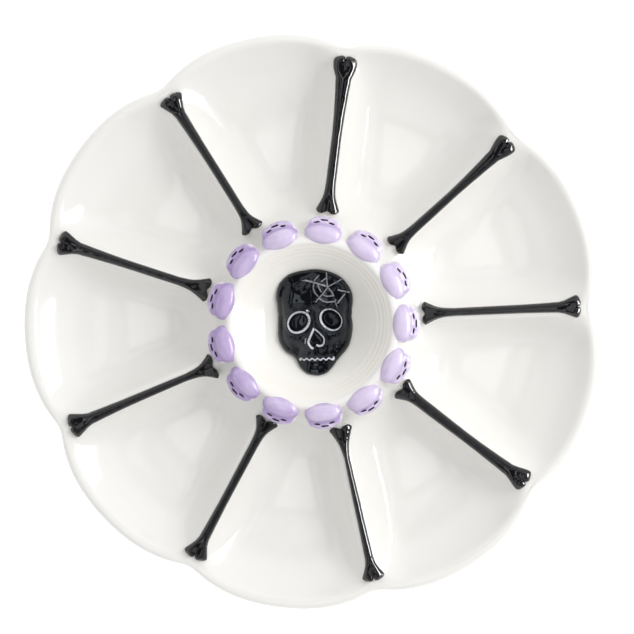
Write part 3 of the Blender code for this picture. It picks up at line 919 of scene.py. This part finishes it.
class TAPAS_OT_small_skulls(bpy.types.Operator):
    """Press one small skull out of a ball and set a copy of it at each place around the bowl"""

    bl_idname = "tapas_plate.small_skulls"
    bl_label = "Small skulls"

    def execute(self, context):
        sizes = context.scene.tapas_sprigs
        skull = self.model_skull()
        shaped = coordinates(skull.data)
        material = lilac_glaze(context.scene.tapas_colours)
        crease_shade = np.empty(len(shaped), np.float32)
        skull.data.attributes["crease_shade"].data.foreach_get("value", crease_shade)
        draw = random.Random(3)
        for k in range(sizes.skull_count):
            angle = FIRST_DIVIDER + math.tau * k / sizes.skull_count
            # Skulls on the side away from the light get painted shade: their lilac is darker there
            thick = max(math.cos(angle - SHADED_SIDE), 0.0) ** 0.7
            pale = LILAC_PALE - LILAC_SHADE * thick + draw.uniform(-LILAC_CHANCE, LILAC_CHANCE)
            spot = Matrix.Translation((0.0, sizes.skull_ring, sizes.skull_height))
            lean = Matrix.Rotation(draw.uniform(-LEAN_CHANCE, LEAN_CHANCE) - sizes.skull_lean, 4, "X")
            nod = Matrix.Rotation(draw.uniform(-NOD_CHANCE, NOD_CHANCE), 4, "Y")
            facing = Matrix.Rotation(angle - FIRST_DIVIDER, 4, "Z")
            place = np.array(facing @ spot @ lean @ nod)
            points = shaped @ place[:3, :3].T + place[:3, 3]
            piece = copy_piece(skull, f"lilac_skull_{k + 1:02d}", points)
            pattern = shaped + np.array(SKULL_PATTERN_SHIFT) * k
            add_attribute(piece.data, "skull_place", pattern, "FLOAT_VECTOR")
            # The crease gets painted shade, deepest on the skulls that are already painted darker
            add_attribute(piece.data, "pale", pale - CREASE_SHADE * (1 - pale) * crease_shade)
            finish_piece(piece, material, "lilac_glaze", f"rim_skull_{k + 1:02d}")
        bpy.data.objects.remove(skull)
        return {"FINISHED"}

    def model_skull(self):
        deselect_all()
        bpy.ops.mesh.primitive_cube_add(size=2.0)
        skull = bpy.context.object
        bpy.ops.object.mode_set(mode="EDIT")
        bpy.ops.mesh.subdivide(number_cuts=SKULL_CUTS)
        bpy.ops.transform.tosphere(value=1.0)
        bpy.ops.object.mode_set(mode="OBJECT")
        rays = coordinates(skull.data)
        rays /= np.linalg.norm(rays, axis=1, keepdims=True)
        heart = np.array(SKULL_HEART)
        reach = np.full(len(rays), SKULL_OUTSIDE)
        for step in range(PRESS_STEPS):
            reach -= PRESS_SHARE * small_skull_distance(heart + rays * reach[:, None])
        points = heart + rays * reach[:, None]
        press(skull.data, points * MM)
        slanted = points + np.outer(DAB_SLANT * (np.abs(points[:, 0]) - DAB_EYE[0][0]), (0.0, 1.0, 0.0))
        dabs = np.minimum(
            np.minimum(ball_distance(slanted, DAB_EYE, True), ball_distance(points, DAB_NOSE)),
            ball_distance(points, DAB_MOUTH),
        )
        add_attribute(skull.data, "dab", np.where(points[:, 2] > 0.0, dabs, NO_DAB) * MM)
        add_attribute(skull.data, "thin", share(points[:, 2], *THIN_GLAZE))
        # The crease between cranium and base, marked here and darkened later as painted shade
        over = ball_distance(points, SKULL_BASE) - ball_distance(points, SKULL_CRANIUM)
        crease_shade = ease(1 - share(np.abs(over - CREASE_PLACE), 0.0, CREASE_REACH))
        add_attribute(skull.data, "crease_shade", crease_shade * (points[:, 1] > CREASE_END))
        return skull


# Skull in the bowl, in millimetres about its middle: +Y to its crown
# Its outline: direction from +X in degrees, and how far it reaches there
BOWL_SKULL_OUTLINE = (
    (0, 19.3), (12, 20.3), (30, 24.1), (38, 25.2), (54, 26.7), (80, 26.8), (95, 26.5),
    (114, 27.2), (128, 26.1), (140, 23.9), (152, 20.8), (166, 18.9), (178, 18.8), (190, 19.5),
    (206, 21.3), (222, 22.1), (235, 21.6), (240, 22.2), (248, 25.2), (258, 27.6), (270, 28.3),
    (279, 27.7), (294, 24.0), (302, 22.9), (318, 22.2), (336, 20.7), (348, 20.0),
)
BOWL_SKULL_COLUMNS = 360
BOWL_SKULL_RINGS = 96
BOWL_SKULL_SKIRT = 1.8
BOWL_SKULL_EDGE = 1.1
BOWL_SKULL_SINK = 0.6
# Shares of the reach: where the edge starts to round, then place, width and lift of the rolls along the sides
EDGE_START = 0.95
RIM_ROLLS = ((0.93, 0.03, 0.25), (0.85, 0.04, -0.4))
DOME_POWER = 4.0
RELIEF_POWER = 12
FACE_WAVE_SCALE = 0.16
FACE_WAVE_HEIGHT = 0.75
# Swells and hollows on both sides of the face: lift, then middle and reach across and along
FACE_SWELLS = (
    (1.3, 7.5, 15.0, 7.5, 7.0), (1.3, 8.5, 7.6, 6.5, 2.0), (-1.2, 0.0, 5.5, 3.2, 3.6),
    (1.6, 12.5, -7.5, 4.0, 3.2), (-1.3, 18.0, 3.0, 2.6, 6.5), (-1.6, 9.5, -13.5, 2.6, 3.2),
    (1.1, 0.0, -15.5, 5.5, 2.6), (0.9, 0.0, -22.5, 6.0, 2.2),
)
# Groove between the teeth: depth, place and width, and where its ends fade
MOUTH_GROOVE = (0.6, -19.15, 0.9)
MOUTH_ENDS = (8.0, 10.5)
# Eyes: middle, turn and half the width of the line around each, slopes of their bottoms, and half their sizes
EYES = ((-7.7, 0.3, math.radians(35), 0.52), (9.2, 0.25, math.radians(-50), 0.36))
EYE_TILT = (0.12, -0.22)
EYE_REACH = (5.95, 4.85)
EYE_LINE_SWELL = 0.03
# Depth of the eyes and the nose, where their walls start and end about the outline, and the brim around it
EYE_DEPTH = 2.6
EYE_WALL = (-2.2, 0.2)
EYE_BRIM = (0.7, 0.9)
NOSE_DEPTH = 1.9
NOSE_WALL = (-1.6, 0.2)
NOSE_BRIM = (0.6, 0.8)
NOSE = (
    (0.7, -12.2), (1.7, -12.8), (3.3, -12.7), (4.3, -11.6), (4.7, -9.7), (4.3, -8.3), (2.3, -5.9),
    (1.1, -4.7), (-0.1, -3.7), (-1.4, -6.1), (-2.8, -8.6), (-3.5, -10.3), (-3.1, -11.9), (-2.1, -13.3),
    (-1.5, -13.6),
)
TEETH_PLACE = (-0.3, -19.6)
TEETH_HALF = 8.4
TEETH_LINE = 0.31
TEETH_SLOPE = 0.065
TEETH_WAVE = (0.42, 2.2)
TEETH_SQUASH = 0.8
# White lines: how well they cover, how high they stand and where that height starts and ends about their edge
LINE_COVER = 0.95
LINE_LIFT = 0.12
LINE_SHOULDER = (-0.25, 0.2)
# Strokes of the brush: half its width, how well it covers, then the points that it goes through
STROKES = (
    (0.42, 0.95, *NOSE[:9]), (0.52, 0.95, *NOSE[8:]), (0.3, 0.5, (-4.8, -8.4), (-5.2, -10.8)),
    (0.6, 0.95, (-8.8, -19.1), (-8.7, -19.3)), (0.55, 0.95, (8.6, -19.7), (8.3, -20.6)),
    (0.18, 0.37, (-4.0, 21.6), (-2.3, 21.5)), (0.45, 0.41, (-2.3, 21.5), (2.0, 20.2)),
    (0.34, 0.41, (2.0, 20.2), (6.3, 18.5)), (0.45, 0.45, (6.3, 18.5), (8.9, 17.5)),
    (0.29, 0.37, (8.9, 17.7), (8.8, 21.0), (8.8, 24.3)),
    (0.27, 0.37, (9.4, 17.5), (13.4, 19.1), (16.6, 20.5)),
    (0.29, 0.41, (14.1, 15.2), (16.4, 14.3), (19.6, 13.3)),
    (0.27, 0.41, (9.0, 17.0), (6.3, 14.1), (2.1, 10.1)),
    (0.31, 0.34, (9.2, 16.8), (10.8, 14.8), (11.7, 12.3)),
    (0.31, 0.41, (17.3, 12.6), (15.4, 10.7), (13.5, 8.5)),
    (0.23, 0.29, (12.4, 10.4), (12.4, 8.4), (12.9, 6.7)),
    (0.31, 0.34, (4.9, 23.5), (2.3, 21.1), (1.5, 17.6), (2.0, 15.1), (3.5, 13.0)),
    (0.32, 0.37, (4.4, 11.6), (5.9, 10.2), (8.3, 9.4), (12.1, 9.5)),
    (0.31, 0.37, (8.8, 21.8), (6.9, 20.9), (6.0, 20.2)), (0.31, 0.37, (4.1, 18.6), (4.4, 17.4), (5.3, 15.3)),
    (0.32, 0.34, (6.5, 13.2), (7.9, 12.5), (11.0, 12.5)),
)
FAR_AWAY = 99.0


def eye_distance(x, y, eye):
    """Rough distance to the oval line around an eye, negative inside it."""
    across, along, turn = x - eye[0], y - eye[1], eye[2]
    long = across * math.cos(turn) + along * math.sin(turn)
    short = along * math.cos(turn) - across * math.sin(turn)
    near = np.hypot(long / EYE_REACH[0], short / EYE_REACH[1])
    return (near - 1) * np.hypot(long, short) / np.maximum(near, 1e-6)


def run_distance(x, y, start, end):
    """Distance to a straight run between two points."""
    span = np.array(end) - np.array(start)
    t = np.clip(((x - start[0]) * span[0] + (y - start[1]) * span[1]) / span.dot(span), 0, 1)
    return np.hypot(x - start[0] - t * span[0], y - start[1] - t * span[1])


def nose_distance(x, y):
    """Distance to the outline of the nose, negative inside it."""
    near, inside = np.full_like(x, FAR_AWAY), np.zeros(x.shape, bool)
    for start, end in zip(NOSE, (*NOSE[1:], NOSE[0])):
        near = np.minimum(near, run_distance(x, y, start, end))
        beside = start[0] + (y - start[1]) * (end[0] - start[0]) / (end[1] - start[1])
        inside ^= ((start[1] > y) != (end[1] > y)) & (x < beside)
    return np.where(inside, -near, near)


def teeth_distance(x, y):
    """Distance to the wavy line between the teeth."""
    across = x - TEETH_PLACE[0]
    height, pace = TEETH_WAVE
    wave = TEETH_PLACE[1] - TEETH_SLOPE * across + height * np.sin(across * pace)
    past = np.maximum(np.abs(across) - TEETH_HALF, 0)
    return np.hypot(past, (y - wave) * TEETH_SQUASH)


def stroke_distance(x, y):
    """Distance to the edge of the nearest stroke, and how well that stroke covers."""
    near, cover = np.full_like(x, FAR_AWAY), np.ones_like(x)
    for half, strength, *places in STROKES:
        for start, end in zip(places, places[1:]):
            far = run_distance(x, y, start, end) - half
            cover = np.where(far < near, strength, cover)
            near = np.minimum(near, far)
    return near, cover


def brim(away, height, width):
    """Height of the brim around a hollow, from distances to the hollow's outline."""
    return height * np.exp(-((away - width) / width) ** 2)


class TAPAS_OT_bowl_skull(bpy.types.Operator):
    """Spin a pad, press it to the skull in the bowl and mark its white lines"""

    bl_idname = "tapas_plate.bowl_skull"
    bl_label = "Skull in the bowl"

    def execute(self, context):
        sizes = context.scene.tapas_sprigs
        form = DishForm(context.scene.tapas_dish)
        face = [(t, 1.0) for t in np.sin(np.linspace(0, 1, BOWL_SKULL_RINGS) * math.pi / 2) ** 0.9]
        skirt = [(1.0, 0.8), (1.0, 0.6), (1.0, 0.4), (0.97, 0.2)]
        under = [(t, 0.0) for t in (0.9, 0.75, 0.5, 0.25, 0.0)]
        profile = face + skirt + under
        skull, ring, column = spin_blank("black_skull", profile, BOWL_SKULL_COLUMNS)
        outline = self.outline()
        spread, level = np.array(profile)[ring].T
        angle = column * math.tau / BOWL_SKULL_COLUMNS
        reach = outline[column] * spread
        x, y = reach * np.cos(angle), reach * np.sin(angle)
        seat = form.bowl(np.hypot(x, y) * MM) / MM
        edge = form.bowl(outline[column] * MM) / MM + BOWL_SKULL_SKIRT
        crown = (BOWL_FLOOR + sizes.bowl_skull_rise) / MM
        dome = between(edge, crown, 1 - spread ** DOME_POWER)
        top = dome + self.relief(x, y) * (1 - spread ** RELIEF_POWER)
        top -= BOWL_SKULL_EDGE * share(spread, EDGE_START, 1.0) ** 2
        for place, width, lift in RIM_ROLLS:
            top += lift * np.cos(angle) ** 2 * np.exp(-(((spread - place) / width) ** 2))
        lines, cover = self.lines(x, y)
        top += LINE_LIFT * cover * ease(1 - share(lines, *LINE_SHOULDER))
        skirted = seat + between(-BOWL_SKULL_SINK, BOWL_SKULL_SKIRT - BOWL_SKULL_EDGE, level)
        height = np.where(level == 1.0, top, skirted)
        turn = sizes.bowl_skull_turn
        turned = (x * math.cos(turn) - y * math.sin(turn), x * math.sin(turn) + y * math.cos(turn), height)
        press(skull.data, np.stack(turned, axis=1) * MM)
        add_attribute(skull.data, "line", lines * MM)
        add_attribute(skull.data, "cover", np.where(level == 1.0, cover, 0.0))
        material = painted_black_glaze(context.scene.tapas_colours)
        finish_piece(skull, material, "black_glaze", "bowl_skull")
        return {"FINISHED"}

    def outline(self):
        """Reach of the outline from the middle in each column's direction, rounded a little."""
        directions, reaches = np.array(BOWL_SKULL_OUTLINE).T
        columns = np.arange(BOWL_SKULL_COLUMNS) * 360.0 / BOWL_SKULL_COLUMNS
        reach = np.interp(columns, directions, reaches, period=360.0)
        window = np.hanning(9) / np.hanning(9).sum()
        padded = np.concatenate((reach[-4:], reach, reach[:4]))
        return np.convolve(padded, window, mode="valid")

    def relief(self, x, y):
        """Height of the face's features over the dome that they are on."""
        side = np.abs(x)
        places = np.stack((x, y, np.zeros_like(x)), axis=1) * FACE_WAVE_SCALE
        lift = FACE_WAVE_HEIGHT * np.array([noise.noise(Vector(place)) for place in places])
        for swell, aside, up, wide, tall in FACE_SWELLS:
            lift += swell * np.exp(-((side - aside) / wide) ** 2 - ((y - up) / tall) ** 2)
        depth, place, width = MOUTH_GROOVE
        lift -= depth * np.exp(-((y - place) / width) ** 2) * ease(1 - share(side, *MOUTH_ENDS))
        for eye, tilt in zip(EYES, EYE_TILT):
            away = eye_distance(x, y, eye)
            pit = ease(1 - share(away, *EYE_WALL))
            lift += (tilt * (x - eye[0]) - EYE_DEPTH) * pit + brim(away, *EYE_BRIM)
        nose = nose_distance(x, y)
        return lift - NOSE_DEPTH * ease(1 - share(nose, *NOSE_WALL)) + brim(nose, *NOSE_BRIM)

    def eye_line(self, x, eye):
        """Half the width of the line around an eye, which swells to one side."""
        return eye[3] + EYE_LINE_SWELL * (x - eye[0]) * eye[2]

    def lines(self, x, y):
        """Distance to the edge of the nearest white line, negative on it, and how well that line covers."""
        eyes = [np.abs(eye_distance(x, y, eye)) - self.eye_line(x, eye) for eye in EYES]
        drawn = np.minimum(np.minimum(*eyes), teeth_distance(x, y) - TEETH_LINE)
        near, cover = stroke_distance(x, y)
        return np.minimum(drawn, near), np.where(drawn < near, LINE_COVER, cover)


# Height that the camera and the lamp aim at
VIEW_HEIGHT = 30 * MM
# Floor of the studio, just under the plate
STUDIO_RADIUS = 5.0
STUDIO_DROP = 0.1 * MM
STUDIO_GLOW = 0.85
# Light: the room's level, how much brighter its lit side is and how much darker the other side is low down
LIGHT_LEVEL = 0.733
LIGHT_SLANT = 0.43
LIGHT_FALL = 0.22
LIGHT_SIDE = math.radians(33)
# Lamp near the lit side
LAMP_AIM = (math.radians(27), math.radians(45))
LAMP_AWAY = 0.8
LAMP_SIZE = 0.36
LAMP_POWER = 2.0
# Softbox that gloss mirrors, close by on the right
SOFTBOX_PLACE = (0.28, 0.065, 0.085)
SOFTBOX_SIZE = (0.24, 0.1)
SOFTBOX_POWER = 1.8
# What gloss mirrors of the room: its walls, dimmer in one corner
WALL_LEVEL = 1.1
CORNER_DIMMED = 0.5
CORNER_EDGE = (0.7, 1.1)
# Then its ceiling: from x and y, to x and y, and level of each patch
CEILING_EDGE = (0.45, 0.62)
CEILING_LEVEL = 0.06
CEILING_BLUR = 0.01
CEILING = (
    (-0.22, -0.5, 0.02, 0.06, 1.5), (-0.62, -0.5, -0.42, 0.04, 0.95), (0.42, -0.24, 0.6, 0.5, 0.85),
    (-0.4, 0.2, -0.06, 0.6, 0.9), (0.04, 0.22, 0.24, 0.56, 0.85), (-0.4, -0.85, 0.06, -0.62, 0.95),
    (0.2, -0.8, 0.42, -0.5, 0.7), (-0.82, -0.1, -0.7, 0.45, 0.8),
)


class TAPAS_OT_stage(bpy.types.Operator):
    """Set up the floor, the light and the camera"""

    bl_idname = "tapas_plate.stage"
    bl_label = "Stage"

    def execute(self, context):
        settings = context.scene.tapas_stage
        self.add_floor(settings)
        self.add_light(context.scene)
        self.add_camera(context.scene, settings)
        context.scene.view_settings.view_transform = "Standard"
        return {"FINISHED"}

    def add_floor(self, settings):
        deselect_all()
        bpy.ops.mesh.primitive_circle_add(
            vertices=96, radius=STUDIO_RADIUS, fill_type="NGON", location=(0, 0, -STUDIO_DROP)
        )
        floor = bpy.context.object
        floor.name = "floor"
        bpy.ops.object.transform_apply(location=True, rotation=True, scale=True)
        material, shader, place = new_glaze("floor")
        shaded = rgba([0.98 * part for part in settings.floor])
        place.cloud(3.0).colours(rgba(settings.floor), shaded).feed(shader, "Base Color")
        shader.inputs["Roughness"].default_value = 0.9
        shader.inputs["Emission Color"].default_value = (1.0, 1.0, 1.0, 1.0)
        shader.inputs["Emission Strength"].default_value = STUDIO_GLOW
        floor.data.materials.append(material)

    def add_light(self, scene):
        """Room, a lamp near its lit side and the softbox that gloss mirrors."""
        self.light_room(scene)
        turn, lift = LAMP_AIM
        aim = Vector((math.cos(lift) * math.cos(turn), math.cos(lift) * math.sin(turn), math.sin(lift)))
        spot = aim * LAMP_AWAY + Vector((0.0, 0.0, VIEW_HEIGHT))
        lamp = self.add_lamp("lamp", spot, aim, (LAMP_SIZE, LAMP_SIZE))
        lamp.data.energy = LAMP_POWER
        lamp.visible_glossy = False
        softbox = self.add_lamp("softbox", Vector(SOFTBOX_PLACE), Vector((1.0, 0.0, 0.0)), SOFTBOX_SIZE)
        softbox.data.energy = SOFTBOX_POWER
        softbox.visible_diffuse = False

    def light_room(self, scene):
        """World that lights the plate softly, shows gloss a room with a patched ceiling, and looks white."""
        world = bpy.data.worlds.new("studio")
        scene.world = world
        world.use_nodes = True
        tree = world.node_tree
        way = Wire(tree.nodes.new("ShaderNodeTexCoord").outputs["Generated"])
        path = tree.nodes.new("ShaderNodeLightPath")
        x, y, z = (way.node("ShaderNodeSeparateXYZ", {}, {0: way}, output=k) for k in range(3))
        side = x * math.cos(LIGHT_SIDE) + y * math.sin(LIGHT_SIDE)
        low = way.math("MAXIMUM", -1.0 * side, 0.0) * (1 - z)
        soft = way.math("MAXIMUM", side, 0.0) * LIGHT_SLANT + LIGHT_LEVEL - low * LIGHT_FALL
        ceiling = CEILING_LEVEL
        for left, near, right, far, level in CEILING:
            patch = x.within(left, right, CEILING_BLUR) * y.within(near, far, CEILING_BLUR)
            ceiling = ceiling + patch * (level - CEILING_LEVEL)
        walls = WALL_LEVEL - (x - y).step(*CORNER_EDGE) * CORNER_DIMMED
        mirrored = walls + z.step(*CEILING_EDGE) * (ceiling - walls)
        glossy, seen = Wire(path.outputs["Is Glossy Ray"]), Wire(path.outputs["Is Camera Ray"])
        level = soft + glossy * (mirrored - soft)
        level = level + seen * (1 - level)
        tree.nodes["Background"].inputs["Color"].default_value = (1.0, 1.0, 1.0, 1.0)
        level.feed(tree.nodes["Background"], "Strength")

    def add_lamp(self, name, spot, aim, size):
        """Oblong lamp at a spot that shines against its aim."""
        light = bpy.data.lights.new(name, "AREA")
        light.shape = "RECTANGLE"
        light.size, light.size_y = size
        lamp = bpy.data.objects.new(name, light)
        bpy.context.collection.objects.link(lamp)
        lamp.matrix_world = Matrix.Translation(spot) @ aim.to_track_quat("Z", "Y").to_matrix().to_4x4()
        lamp.visible_camera = False
        return lamp

    def add_camera(self, scene, settings):
        tilt, turn, roll = settings.tilt, settings.turn, settings.roll
        back = Vector((math.sin(tilt) * math.cos(turn), math.sin(tilt) * math.sin(turn), math.cos(tilt)))
        level = Vector((0, 1, 0)).cross(back).normalized()
        upright = back.cross(level)
        right = math.cos(roll) * level + math.sin(roll) * upright
        up = back.cross(right)
        lens = bpy.data.cameras.new("camera")
        lens.lens = lens.sensor_width * settings.distance / settings.span
        lens.clip_end = 50.0
        camera = bpy.data.objects.new("camera", lens)
        bpy.context.collection.objects.link(camera)
        target = Vector((0, 0, VIEW_HEIGHT)) + right * settings.across + up * settings.along
        frame_axes = Matrix((right, up, back)).transposed()
        camera.matrix_world = Matrix.Translation(target + back * settings.distance) @ frame_axes.to_4x4()
        scene.camera = camera


class TAPAS_PT_panel(bpy.types.Panel):
    """Sizes, colours and steps of the tapas plate"""

    bl_idname = "TAPAS_PT_panel"
    bl_label = "Tapas plate"
    bl_space_type = "VIEW_3D"
    bl_region_type = "UI"
    bl_category = "Tapas plate"

    def draw(self, context):
        for step in STEPS:
            self.layout.operator(step.bl_idname)
        for group in GROUPS:
            box = self.layout.box()
            for name in GROUPS[group].__annotations__:
                box.prop(getattr(context.scene, group), name)


STEPS = (TAPAS_OT_dish, TAPAS_OT_bones, TAPAS_OT_small_skulls, TAPAS_OT_bowl_skull, TAPAS_OT_stage)
GROUPS = {
    "tapas_dish": DishSizes,
    "tapas_sprigs": SprigSizes,
    "tapas_colours": GlazeColours,
    "tapas_stage": StageSettings,
}


def register():
    for kind in (*GROUPS.values(), *STEPS, TAPAS_PT_panel):
        bpy.utils.register_class(kind)
    for name, kind in GROUPS.items():
        setattr(bpy.types.Scene, name, PointerProperty(type=kind))


def unregister():
    for name in GROUPS:
        delattr(bpy.types.Scene, name)
    for kind in reversed((*GROUPS.values(), *STEPS, TAPAS_PT_panel)):
        bpy.utils.unregister_class(kind)


def main():
    register()
    bpy.ops.tapas_plate.dish()
    bpy.ops.tapas_plate.bones()
    bpy.ops.tapas_plate.small_skulls()
    bpy.ops.tapas_plate.bowl_skull()
    bpy.ops.tapas_plate.stage()


if __name__ == "__main__":
    main()
